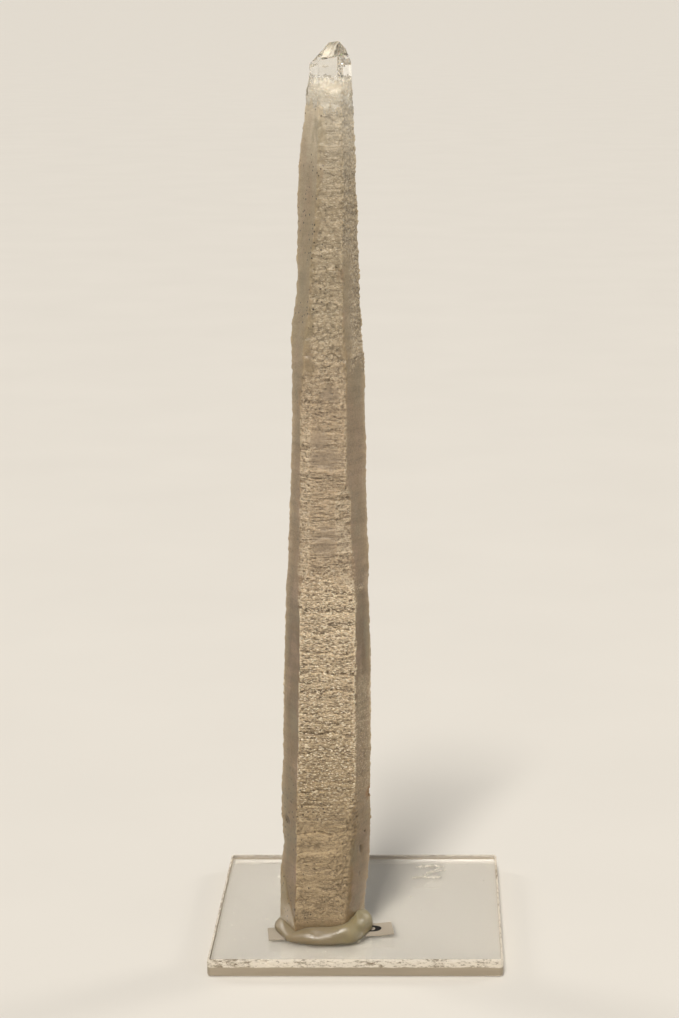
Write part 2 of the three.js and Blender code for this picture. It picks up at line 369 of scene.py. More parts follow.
def bump(tree, height, distance_mm, strength=1.0):
    made = node(tree, "ShaderNodeBump", Height=height, Distance=distance_mm * MM, Strength=strength)
    return made.outputs["Normal"]


def let_light_through(material, share):
    """Lets this share of the lamps' light straight through clear material, so that what is inside is lit."""
    tree = material.node_tree
    surface = next(made for made in tree.nodes if made.type == "BSDF_PRINCIPLED")
    output = next(made for made in tree.nodes if made.type == "OUTPUT_MATERIAL")
    passing = node(tree, "ShaderNodeBsdfTransparent")
    shadow = times(tree, node(tree, "ShaderNodeLightPath").outputs["Is Shadow Ray"], share)
    either = node(tree, "ShaderNodeMixShader", Fac=shadow)
    tree.links.new(surface.outputs["BSDF"], either.inputs[1])
    tree.links.new(passing.outputs["BSDF"], either.inputs[2])
    tree.links.new(either.outputs["Shader"], output.inputs["Surface"])


def growth_texture_group():
    """The crystal skin's fine growth pattern: grains low down, fine striae half way, soft wrinkles above."""
    group = bpy.data.node_groups.new("quartz growth texture", "ShaderNodeTree")
    group.interface.new_socket("Roughened", in_out="INPUT", socket_type="NodeSocketFloat")
    for name in ("Tone", "Relief", "Glint", "Fleck"):
        group.interface.new_socket(name, in_out="OUTPUT", socket_type="NodeSocketFloat")
    roughened = node(group, "NodeGroupInput").outputs["Roughened"]
    result = node(group, "NodeGroupOutput")
    level = wandering_height(group)
    above_foot = remap(group, level, 22, 34)
    middle = remap(group, level, 64, 70)
    upper = remap(group, level, 92, 104)
    wavy = remap(group, level, 118, 126)
    moved = warped_place(group, (2.3, 2.3, 5.2), (1.0, 1.0, 1.3), scale=1.1)
    grains = remap(group, cells(group, "SMOOTH_F1", moved).outputs["Distance"], 0.72, 0.18)
    lines = remap(group, clouds(group, (0.5, 0.5, 4.5), detail=4.0, Roughness=0.6), 0.32, 0.68)
    swell = clouds(group, (0.7, 0.7, 1.5), detail=4.0, Roughness=0.55)
    wrinkles = remap(group, swell, 0.3, 0.7)
    bands = remap(group, clouds(group, (0.12, 0.12, 0.8)), 0.32, 0.68)
    gritty = remap(group, clouds(group, scale=2.6, Roughness=0.8), 0.34, 0.66)
    flecks = clouds(group, (1.9, 1.9, 4.0), Roughness=0.7)
    curls = seams(group, (0.75, 0.75, 1.3))
    plates = seams(group, (0.62, 0.62, 0.95))
    waves = seams(group, (0.3, 0.3, 0.85))
    low_seam = times(group, curls, remap(group, above_foot, 0.0, 1.0, 0.9, 0.25))
    seam = blend(group, wavy, plates, waves)
    low_seam = times(group, low_seam, calculate(group, "SUBTRACT", 1.0, middle))
    seam = blend(group, upper, low_seam, seam)
    calmer = blend(group, above_foot, blend(group, 0.6, grains, swell), grains)
    pattern = blend(group, middle, calmer, blend(group, 0.65, grains, lines))
    pattern = blend(group, upper, pattern, wrinkles)
    pattern = calculate(group, "MULTIPLY_ADD", seam, -0.5, pattern)
    pattern = blend(group, roughened, blend(group, 0.3, swell, lines), pattern)
    relief = calculate(group, "MULTIPLY_ADD", gritty, 0.6, pattern)
    # Tone follows the relief: wherever a colour is picked by it, hollows come out darker and crests lighter.
    # That is painted shade and painted light, mixed with the skin's own banding.
    tone = calculate(group, "MULTIPLY_ADD", bands, 0.55, relief)
    tone = times(group, tone, 0.48)
    loudest = blend(group, middle, blend(group, above_foot, 0.15, 1.0), blend(group, upper, 0.55, 0.2))
    fleck = times(group, remap(group, flecks, 0.46, 0.34), loudest)
    seam_fleck = times(group, seam, blend(group, wavy, 0.6, 1.0))
    fleck = calculate(group, "MAXIMUM", fleck, seam_fleck)
    # Painted glints: scattered spots where pale sparkle is laid into the colour; the same spots also lower
    # the roughness.
    glint_cells = cells(group, "F1", place_in_mm(group, (3.4, 3.4, 5)))
    chance = node(group, "ShaderNodeSeparateColor", Color=glint_cells.outputs["Color"]).outputs["Red"]
    glint_spots = times(group, remap(group, chance, 0.68, 0.86), remap(group, grains, 0.2, 0.6))
    sparkle = times(group, glint_spots, roughened, blend(group, middle, above_foot, 0.3))
    plug(group, result, Tone=tone, Relief=relief, Glint=sparkle, Fleck=times(group, fleck, roughened))
    return group


def wandering_height(tree):
    """Height up the piece in mm, wandering by a few mm so that no stretch ends in a straight line."""
    moved = calculate(tree, "MULTIPLY_ADD", clouds(tree, (0.3, 0.3, 0.12)), 9.0, place_along(tree, "Z"))
    return calculate(tree, "SUBTRACT", moved, 4.5)


# The skin's colours at the foot, low down, half way, above that and at the top, and the heights in mm
# between which each blends into the next.
# The hollow colours are darker than the crest colours: painted shade in the relief's hollows and painted
# light on its crests, over the skin's own tone.
SKIN_COLOURS = {
    "hollow": [(110, 93, 68), (94, 78, 57), (104, 88, 67), (124, 111, 88), (158, 147, 129)],
    "crest": [(184, 162, 128), (226, 204, 172), (204, 181, 151), (180, 163, 136), (202, 191, 170)],
    "side hollow": [(98, 80, 54), (94, 76, 50), (104, 86, 62), (112, 97, 72), (164, 151, 128)],
    "side crest": [(134, 112, 79), (120, 99, 68), (128, 108, 80), (142, 126, 97), (198, 184, 159)],
}
BLEND_HEIGHTS = [(22, 60), (62, 70), (94, 112), (128, 146)]


def up_the_crystal(tree, level, colours):
    """A colour for each stretch of the crystal, from its foot to its tip, blended into each other."""
    layers = [(remap(tree, level, *heights), *paint) for heights, paint in zip(BLEND_HEIGHTS, colours[1:])]
    return paint_over(tree, srgb(*colours[0]), *layers)


def seams(group, scale):
    """Thin wandering lines between growth plates; scale is plates per mm along X, Y and Z."""
    moved = warped_place(group, scale, (0.9, 0.9, 0.9), scale=0.9, Roughness=0.6)
    line = remap(group, cells(group, "DISTANCE_TO_EDGE", moved).outputs["Distance"], 0.02, 0.11, 1.0, 0.0)
    return times(group, line, remap(group, clouds(group, scale=0.6, detail=2.0), 0.35, 0.6))


def use_group(tree, group, **inputs):
    return node(tree, "ShaderNodeGroup", {"node_tree": group}, **inputs).outputs


# A rusty stain on the right-hand side face: its middle and radius, in mm.
STAIN = Vector((2.1, -13.4, 28.6))
STAIN_RADIUS = 1.5


def milky_quartz(growth):
    material, tree, surface = new_material("milky quartz")
    rough = attribute(tree, "rough amount")
    calm = attribute(tree, "calm amount")
    film = attribute(tree, "film amount")
    skin = use_group(tree, growth, Roughened=rough)
    level = wandering_height(tree)
    hollow = up_the_crystal(tree, level, SKIN_COLOURS["hollow"])
    crest = up_the_crystal(tree, level, SKIN_COLOURS["crest"])
    side_hollow = up_the_crystal(tree, level, SKIN_COLOURS["side hollow"])
    side_crest = up_the_crystal(tree, level, SKIN_COLOURS["side crest"])
    pebbled = attribute(tree, "pebbled amount")
    below = times(tree, attribute(tree, "below shoulder amount"), 0.55)
    cloudy = clouds(tree, (0.3, 0.3, 0.16))
    ruddy = remap(tree, cloudy, 0.52, 0.64, 0.0, 0.5)
    greenish = remap(tree, cloudy, 0.46, 0.36, 0.0, 0.5)
    # Painted glow: the side colours turn lighter near the left and right outline, standing in for light
    # shining through the thin edges.
    thin = times(tree, attribute(tree, "thin amount"), 0.35)
    side_hollow = paint_over(
        tree, side_hollow, (below, 84, 66, 44), (greenish, 96, 84, 60), (thin, 150, 130, 100)
    )
    side_crest = paint_over(
        tree,
        side_crest,
        (below, 106, 86, 60),
        (ruddy, 150, 124, 102),
        (greenish, 118, 108, 82),
        (thin, 196, 178, 146),
    )
    hollow = mix_colour(tree, rough, side_hollow, hollow)
    crest = mix_colour(tree, rough, side_crest, crest)
    darker = times(tree, pebbled, remap(tree, level, 142, 128, 0.0, 0.5))
    hollow = mix_colour(tree, darker, hollow, srgb(98, 84, 63))
    crest = mix_colour(tree, darker, crest, srgb(170, 153, 125))
    # Painted light and shade: the tone, and with it the colour between hollow and crest, is lighter on convex
    # ridges and darker in concave crevices, read from the mesh's pointiness.
    ridge_light_crevice_shade = remap(tree, node(tree, "ShaderNodeNewGeometry").outputs["Pointiness"], 0.43, 0.57)
    tone = times(tree, skin["Tone"], 0.5)
    tone = calculate(tree, "MULTIPLY_ADD", ridge_light_crevice_shade, 0.5, tone, clamp=True)
    tone = remap(tree, tone, 0.14, 0.76)
    colour = mix_colour(tree, tone, hollow, crest)
    quiet = calculate(tree, "MULTIPLY_ADD", calculate(tree, "MAXIMUM", calm, pebbled), -0.75, 1.0)
    fleck = times(tree, times(tree, skin["Fleck"], quiet), 0.55)
    colour = mix_colour(tree, fleck, colour, hollow)
    # Painted highlight: a pale colour along the front face's edges, mostly low down, where the grains would
    # catch the light.
    low = times(tree, remap(tree, level, 26, 36), remap(tree, level, 68, 62))
    crisp = calculate(tree, "MAXIMUM", times(tree, low, 0.8), remap(tree, level, 98, 94, 0.0, 0.35))
    crisp = times(tree, crisp, remap(tree, level, 26, 36))
    border = times(tree, attribute(tree, "edges amount"), crisp, remap(tree, skin["Tone"], 0.4, 0.7))
    # Painted shade: the small hollows are darkened, as shade would fall in them; their depth is carved into
    # the mesh as well.
    hollowed = times(tree, attribute(tree, "hollowed amount"), 0.6)
    loudness = calculate(tree, "MULTIPLY_ADD", calm, -0.9, 1.0)
    # Painted glints: pale sparkle laid into the colour, quieter in the smooth patches.
    glint = times(tree, skin["Glint"], times(tree, loudness, 0.8))
    specks = cells(tree, "F1", place_in_mm(tree), 1.15)
    speck = remap(tree, specks.outputs["Distance"], 0.15, 0.23, 0.9, 0.0)
    dirty = clouds(tree, scale=0.14, detail=1.0)
    dirtier = calculate(tree, "MULTIPLY_ADD", remap(tree, level, 112, 130), 0.07, dirty)
    across = place_along(tree, "X")
    on_left = remap(tree, across, -3.0, -6.0, 0.25, 1.0)
    not_low = calculate(tree, "MULTIPLY_ADD", low, -0.8, 1.0)
    cleaner = calculate(tree, "MAXIMUM", remap(tree, level, 60, 72, 1.0, 0.45), remap(tree, level, 102, 112))
    speck = times(tree, speck, remap(tree, dirtier, 0.48, 0.56), on_left, not_low, cleaner)
    away = node(tree, "ShaderNodeVectorMath", {"operation": "DISTANCE"})
    tree.links.new(place_in_mm(tree), away.inputs[0])
    away.inputs[1].default_value = STAIN
    spread = clouds(tree, scale=1.6, detail=2.0)
    reach = calculate(tree, "MULTIPLY_ADD", spread, 2.2, away.outputs["Value"])
    stain = remap(tree, reach, STAIN_RADIUS, STAIN_RADIUS + 1.2, 0.8, 0.0)
    colour = paint_over(
        tree,
        colour,
        (times(tree, calm, 0.5), 116, 103, 88),
        # painted highlight along the edges
        (border, 236, 220, 192),
        # painted shade in the small hollows
        (hollowed, 78, 62, 42),
        # painted glints
        (glint, 244, 230, 204),
        (times(tree, film, 0.55), 140, 122, 84),
        (speck, 44, 32, 20),
        (stain, 128, 88, 34),
    )
    strength = times(
        tree,
        calculate(tree, "MULTIPLY_ADD", rough, 0.88, 0.12),
        remap(tree, level, 20, 36, 0.8, 1.0),
        remap(tree, level, 92, 108, 1.0, 0.6),
        calculate(tree, "MULTIPLY_ADD", calm, -0.7, 1.0),
    )
    relief = times(tree, skin["Relief"], strength)
    roughness = calculate(tree, "MULTIPLY_ADD", skin["Glint"], -0.15, 0.42)
    plug(
        tree,
        surface,
        Base_Color=colour,
        Roughness=calculate(tree, "MULTIPLY_ADD", film, -0.12, roughness),
        IOR=1.544,
        Subsurface_Weight=0.25,
        Subsurface_Radius=(1.0, 0.8, 0.55),
        Subsurface_Scale=1.3 * MM,
        Normal=bump(tree, relief, 0.17),
    )
    return material


def hazy_quartz(growth, name, clearness):
    """The skin where the milky body clears towards the tip."""
    material, tree, surface = new_material(name)
    skin = use_group(tree, growth, Roughened=1.0)
    colour = mix_colour(tree, skin["Tone"], srgb(192, 183, 166), srgb(234, 228, 214))
    plug(
        tree,
        surface,
        Base_Color=colour,
        Roughness=0.24,
        IOR=1.544,
        Transmission_Weight=clearness,
        Normal=bump(tree, skin["Relief"], 0.06),
    )
    let_light_through(material, 0.8 * clearness)
    return material


def clear_quartz():
    material, tree, surface = new_material("clear quartz")
    frost = clouds(tree, (1.2, 1.2, 2.4))
    roughness = remap(tree, frost, 0.45, 0.75, 0.02, 0.1)
    ripple = clouds(tree, scale=0.7, detail=1.0)
    plug(
        tree,
        surface,
        Base_Color=srgb(250, 248, 243),
        Roughness=roughness,
        IOR=1.544,
        Transmission_Weight=1.0,
        Normal=bump(tree, ripple, 0.02),
    )
    let_light_through(material, 0.85)
    return material


def veil_quartz(growth):
    """The mist inside the tip: milky low down, fading out in wisps at its top."""
    material, tree, surface = new_material("milky veil")
    skin = use_group(tree, growth, Roughened=1.0)
    colour = mix_colour(tree, skin["Tone"], srgb(226, 220, 207), srgb(250, 247, 240))
    wisps = clouds(tree, (1, 1, 0.6), scale=0.9, detail=4.0)
    reach = calculate(tree, "MULTIPLY_ADD", wisps, 3.0, place_along(tree, "Z"))
    plug(
        tree,
        surface,
        Base_Color=colour,
        Roughness=0.7,
        IOR=1.2,
        Subsurface_Weight=0.4,
        Subsurface_Radius=(1.0, 0.9, 0.75),
        Subsurface_Scale=1.0 * MM,
        Alpha=remap(tree, reach, VEIL_FADE_FROM + 1.5, VEIL_TOP + 1.2, 1.0, 0.0),
    )
    return material


def putty_material():
    material, tree, surface = new_material("cream mounting putty")
    kneading = clouds(tree, scale=0.35, Distortion=1.2)
    across = place_along(tree, "X")
    greener = remap(tree, across, -7, 2)
    dark = mix_colour(tree, greener, srgb(118, 105, 81), srgb(127, 117, 88))
    light = mix_colour(tree, greener, srgb(141, 127, 102), srgb(150, 140, 110))
    colour = mix_colour(tree, kneading, dark, light)
    lint = clouds(tree, scale=2.6, detail=4.0, Roughness=0.7)
    dust = remap(tree, lint, 0.62, 0.75, 0.0, 0.35)
    colour = mix_colour(tree, dust, colour, srgb(104, 88, 62))
    roughness = remap(tree, kneading, 0.3, 0.7, 0.3, 0.44)
    prints = clouds(tree, (1, 1, 2), scale=0.8)
    plug(
        tree,
        surface,
        Base_Color=colour,
        Roughness=roughness,
        IOR=1.5,
        Subsurface_Weight=0.7,
        Subsurface_Radius=(1.0, 0.85, 0.5),
        Subsurface_Scale=2.5 * MM,
        Normal=bump(tree, prints, 0.08),
    )
    return material


def polished_acrylic():
    material, tree, surface = new_material("polished acrylic")
    scratches = clouds(tree, (0.25, 3.0, 1), detail=6.0)
    haze = remap(tree, scratches, 0.6, 0.75, 0.012, 0.09)
    plug(
        tree,
        surface,
        Base_Color=srgb(252, 251, 248),
        Roughness=haze,
        IOR=1.49,
        Transmission_Weight=1.0,
        Normal=bump(tree, scratches, 0.004),
    )
    let_light_through(material, 0.35)
    return material


def sawn_acrylic():
    """Cut edges: a rough, light strip above, where the cut began, and a smoother satin strip below."""
    material, tree, surface = new_material("sawn acrylic edge")
    strip = calculate(tree, "MULTIPLY_ADD", clouds(tree, (0.4, 0.4, 0)), 0.5, place_along(tree, "Z"))
    upper = remap(tree, strip, 1.8, 2.0)
    saw = clouds(tree, (1.1, 1.1, 3.2), detail=5.0, Roughness=0.75)
    clean = calculate(tree, "SUBTRACT", saw, 0.18)
    clean = calculate(tree, "MULTIPLY_ADD", clouds(tree, (0.22, 0.22, 0)), 0.36, clean)
    below = mix_colour(tree, clouds(tree, (0.15, 0.15, 1.8)), srgb(164, 150, 128), srgb(188, 174, 153))
    above = mix_colour(tree, remap(tree, clean, 0.36, 0.52), srgb(146, 131, 108), srgb(246, 237, 221))
    colour = mix_colour(tree, upper, below, above)
    height = times(tree, saw, upper)
    plug(
        tree,
        surface,
        Base_Color=colour,
        Roughness=remap(tree, upper, 0.0, 1.0, 0.3, 0.42),
        IOR=1.49,
        Transmission_Weight=0.35,
        Normal=bump(tree, height, 0.05),
    )
    let_light_through(material, 0.35)
    return material


def dried_glue():
    material, tree, surface = new_material("dried glue")
    cloudy = clouds(tree, scale=2.0)
    plug(
        tree,
        surface,
        Base_Color=mix_colour(tree, cloudy, srgb(214, 206, 190), srgb(246, 242, 232)),
        Roughness=remap(tree, cloudy, 0.3, 0.7, 0.12, 0.35),
        IOR=1.48,
        Transmission_Weight=0.4,
        Normal=bump(tree, cloudy, 0.03),
    )
    return material


def settled_dust():
    material, tree, surface = new_material("settled dust")
    mottle = clouds(tree, scale=3.0, detail=2.0)
    plug(
        tree,
        surface,
        Base_Color=mix_colour(tree, mottle, srgb(196, 188, 174), srgb(240, 236, 226)),
        Roughness=0.9,
    )
    return material


def paper_material(centre, turn):
    """Off-white label paper with a plain ink ring printed near its right end."""
    material, tree, surface = new_material("label paper")
    fibres = clouds(tree, scale=5.0, detail=5.0, Roughness=0.7)
    colour = mix_colour(tree, fibres, srgb(150, 140, 125), srgb(178, 168, 153))
    mapping = node(tree, "ShaderNodeMapping", {"vector_type": "TEXTURE"}, Vector=place_in_mm(tree))
    mapping.inputs["Location"].default_value = centre
    mapping.inputs["Rotation"].default_value = (0, 0, turn)
    parts = node(tree, "ShaderNodeSeparateXYZ", Vector=mapping.outputs["Vector"])
    outer = ellipse(tree, parts, 1.7, 1.4)
    inner = ellipse(tree, parts, 0.6, 0.75)
    inside = remap(tree, outer, 0.97, 1.03, 1.0, 0.0)
    hole = remap(tree, inner, 0.95, 1.05, 1.0, 0.0)
    ink = times(tree, inside, calculate(tree, "SUBTRACT", 1.0, hole))
    colour = mix_colour(tree, ink, colour, srgb(22, 20, 19))
    plug(
        tree,
        surface,
        Base_Color=colour,
        Roughness=0.8,
        Specular_IOR_Level=0.3,
        Normal=bump(tree, fibres, 0.02),
    )
    return material


def ellipse(tree, parts, half_width, half_height):
    """1 on an ellipse, under 1 inside it."""
    across = calculate(tree, "DIVIDE", parts.outputs["X"], half_width)
    along = calculate(tree, "DIVIDE", parts.outputs["Y"], half_height)
    squares = calculate(tree, "MULTIPLY_ADD", across, across, times(tree, along, along))
    return calculate(tree, "SQRT", squares)


def floor_material():
    material, tree, surface = new_material("pale floor")
    mottle = clouds(tree, scale=0.02)
    colour = mix_colour(tree, mottle, srgb(214, 211, 205), srgb(220, 217, 211))
    plug(tree, surface, Base_Color=colour, Roughness=0.55)
    return material


# ---- The crystal ----

# Heights in mm where the crystal clears towards its tip, and where the mist inside it starts, thins and ends.
CLEAR_FROM = 148.6
THIN_HAZE_FROM = 146.6
THICK_HAZE_FROM = 144.4
VEIL_FROM = 141.5
VEIL_FADE_FROM = 147.2
VEIL_TOP = 149.4
# Size in mm of the mist's mesh, and how far under the crystal's skin it lies.
VEIL_GRID = 0.3
VEIL_INSET = 0.45
# Size in mm of the mesh's squares before the front is subdivided, and how often the remesher halves its box.
GRID = 0.38
OCTREE = 9


def ragged(place, size):
    """How far a growth boundary wanders up and down here, in mm."""
    broad = noise.noise(Vector((0.7 * place.x, 0.7 * place.y, 0.3 * place.z)))
    fine = noise.noise(Vector((2.6 * place.x, 2.6 * place.y, 1.2 * place.z)))
    return size * (broad + 0.6 * fine)


def growth_level(place):
    """Height up the crystal in mm, wandering so that no band of growth ends in a straight line."""
    sweep = noise.noise(Vector((0.25 * place.x, 0.25 * place.y, 0.09 * place.z + 4.0)))
    return place.z + 9 * sweep + ragged(place, 2.6)


def fades_out(place):
    """1 on the rough growth, 0 on the polished tip and in the putty."""
    return ramp(place.z, CLEAR_FROM, CLEAR_FROM - 3) * ramp(place.z, 5, 8)


def left_edge(height):
    """X of the front face's left edge at this height, in mm."""
    return -9.0 + 2.0 * ramp(height, 50, 112) + 2.2 * ramp(height, 110, 142)


def on_front(normal):
    """1 on the front and back faces, 0 on the side faces."""
    return ramp(abs(normal.y), 0.7, 0.92)


def pebbled_side(place, normal):
    """The right-hand side face is pebbled above its shoulder, except for a smooth strip by the front face."""
    clear_of_front = max(ramp(place.x + ragged(place, 0.5), -0.7, 0.2), ramp(place.z, 118, 123))
    return ramp(normal.x, 0.4, 0.7) * band(growth_level(place), 103, 150, 2.5) * clear_of_front


def beside_column(place):
    """1 on the smooth strips left and right of the column that stands up the front face."""
    right_end = -2.0 + 3.0 * ramp(place.z, 117, 122)
    column = band(place.x + ragged(place, 0.9), left_edge(place.z) + 0.9, right_end, 0.6)
    return band(growth_level(place), 104, 147, 3) * (1 - column)


def corroded(place, normal):
    """The right-hand side face is corroded low down, most of all by the front face."""
    toward_front = ramp(place.y, -11.5, -14.0)
    return band(growth_level(place), 24, 44, 4) * ramp(normal.x, 0.4, 0.7) * (0.45 + 0.55 * toward_front)


def rough_weight(place, normal):
    """How rough the growth is, for the materials."""
    upper_sides = 0.16 * ramp(growth_level(place), 58, 78)
    sides = max(pebbled_side(place, normal), 0.25 * corroded(place, normal), upper_sides)
    strips = 1 - 0.7 * beside_column(place)
    return max(on_front(normal) * strips, sides) * fades_out(place)


def below_shoulder(place, normal):
    """1 on the side faces under the crystal's shoulders, which slope up and outward from the front face."""
    left_shoulder = 64.9 + 1.24 * (-9.0 - place.x)
    right_shoulder = 65.2 + 2.5 * (place.x - 0.2)
    shoulder = max(left_shoulder, right_shoulder)
    return ramp(place.z, shoulder + 0.25, shoulder - 0.25) * (0.5 + 0.5 * ramp(place.z, 40, 60))


def ledge_weight(place, normal):
    """The front face's growth ledges are worn down above the grains, most of all near the tip."""
    level = growth_level(place)
    worn = 0.3 * ramp(level, 60, 68) + 0.2 * ramp(level, 92, 100) + 0.5 * ramp(level, 116, 124)
    return worn * fades_out(place) * on_front(normal)


def grain_level(place):
    """Height in mm, tilted so that the low growth ends in a slanting line that climbs to the right."""
    return place.z - 0.65 * (place.x + 9) * ramp(place.z, 54, 66) + ragged(place, 1.0)


# Smooth patches on the front face: x, z, half width and half height of each, in mm.
CALM_PATCHES = [
    (-4.0, 73.4, 3.3, 2.2),
    (-4.4, 87.2, 2.6, 1.6),
    (-5.6, 90.5, 1.6, 1.2),
    (-3.6, 98.0, 1.4, 1.1),
]


def calm_weight(place, normal):
    """1 in the smooth patches, with ragged borders."""
    if normal.y > -0.5:
        return 0.0
    nearest = 9.0
    for x, z, half_width, half_height in CALM_PATCHES:
        away = math.hypot((place.x - x) / half_width, (place.z - z) / half_height)
        nearest = min(nearest, away)
    return ramp(nearest + ragged(place, 0.45), 1.5, 0.6)


def loud(place, normal):
    """How much of the relief is left here by the smooth patches."""
    return 1 - 0.65 * calm_weight(place, normal)


def film_weight(place, normal):
    """Putty smeared up the side faces of the foot in a thin film: highest at the outer corners."""
    left = 16.0 - 3.6 * (place.x + 13.3) + ragged(place, 0.7)
    right = 6.5 + 2.4 * place.x + ragged(place, 0.7)
    top = left if place.x < -6 else right
    return ramp(place.z, top + 0.3, top - 0.3) * ramp(abs(normal.x), 0.25, 0.5)


# Small hollows in the side faces: x and z of both ends and half width, in mm.
HOLLOWS = [
    (-11.85, 24.3, -11.65, 23.8, 0.6),
    (0.62, 18.9, 0.66, 17.9, 0.2),
    (0.38, 14.2, 0.4, 14.0, 0.24),
    (1.42, 21.5, 1.46, 21.3, 0.22),
    (-1.5, 27.4, -1.4, 27.3, 0.34),
    (0.1, 25.3, 0.2, 25.2, 0.34),
    (-0.4, 28.6, -0.3, 28.5, 0.25),
    (-11.2, 33.6, -11.1, 33.4, 0.25),
]


def hollow_weight(place, normal):
    """1 at the bottom of the small hollows on the side faces."""
    if place.y > -11 or abs(normal.x) < 0.2:
        return 0.0
    deepest = 0.0
    for x1, z1, x2, z2, half_width in HOLLOWS:
        run = Vector((x2 - x1, z2 - z1))
        offset = Vector((place.x - x1, place.z - z1))
        along = min(1.0, max(0.0, offset.dot(run) / run.length_squared))
        away = (offset - run * along).length + ragged(place * 1.5, 0.16)
        deepest = max(deepest, ramp(away, half_width, 0.2 * half_width))
    return deepest


def blunt_weight(place, normal):
    """The right-hand front corner just above the putty and the ledges of both shoulders are worn round."""
    corner = band(place.z, 9, 27, 4) * band(place.x, -3.2, 1.0, 1.0) * ramp(place.y, -13.0, -14.5)
    shoulder = band(place.z, 63, 70, 1.5) * ramp(abs(normal.x), 0.3, 0.6) * ramp(place.y, -12.4, -13.4)
    return max(corner, 0.7 * shoulder)


def banded_weight(place, normal):
    facing = on_front(normal) * (0.45 if normal.y > 0 else 1.0)
    return facing * fades_out(place) * ramp(growth_level(place), 104, 90)


def grainy_weight(place, normal):
    low = ramp(grain_level(place), 69, 65) * on_front(normal)
    above_foot = 0.5 + 0.5 * ramp(growth_level(place), 21, 34)
    return max(low, 0.6 * corroded(place, normal)) * above_foot * fades_out(place) * loud(place, normal)


def striped_weight(place, normal):
    upper_end = ramp(growth_level(place), 103, 96)
    between = ramp(grain_level(place), 64, 68) * upper_end
    return between * on_front(normal) * fades_out(place) * loud(place, normal)


def scaly_weight(place, normal):
    """The column of scales stands in the middle of the front face, with smooth strips beside it."""
    column = band(place.x + ragged(place, 0.5), left_edge(place.z) + 0.9, -2.3, 0.5)
    return band(growth_level(place), 105, 119, 2) * on_front(normal) * column


def crumbly_weight(place, normal):
    """Below the scales the column breaks up into small lumps."""
    column = band(place.x + ragged(place, 0.6), left_edge(place.z) + 0.5, -1.5, 0.6)
    return band(growth_level(place), 96, 106, 2) * on_front(normal) * column * loud(place, normal)


def wrinkled_weight(place, normal):
    inside = ramp(place.x + ragged(place, 0.5), left_edge(place.z) + 0.1, left_edge(place.z) + 1.3)
    stretch = band(growth_level(place), 119, 150, 3)
    return stretch * on_front(normal) * inside * fades_out(place) * loud(place, normal)


def pebbled_weight(place, normal):
    margin = on_front(normal) * ramp(place.x, -1.7, -1.0) * ramp(place.z, 116, 122)
    return max(pebbled_side(place, normal), margin) * fades_out(place)


def edge_weight(place, normal):
    between = band(abs(normal.x), 0.3, 0.75, 0.12)
    corner = ramp(abs(normal.x), 0.93, 0.985)
    return max(between, corner) * fades_out(place)


def notched_weight(place, normal):
    """The outermost left and right corners are notched, most of all above the shoulders."""
    corner = ramp(abs(normal.x), 0.88, 0.95)
    return corner * fades_out(place) * (0.3 + 0.7 * ramp(place.z, 100, 108))


def needs_detail(face):
    place = face.center / MM
    front = face.normal.y < -0.85 and place.z < CLEAR_FROM
    pebbles = face.normal.x > 0.5 and (98 < place.z < CLEAR_FROM or 19 < place.z < 36)
    return front or pebbles


def outline_by_height(piece):
    """How far left and right the piece reaches at each whole millimetre of height."""
    outline = {}
    for point in piece.data.vertices:
        place = point.co / MM
        left, right = outline.get(int(place.z), (place.x, place.x))
        outline[int(place.z)] = (min(left, place.x), max(right, place.x))
    return outline


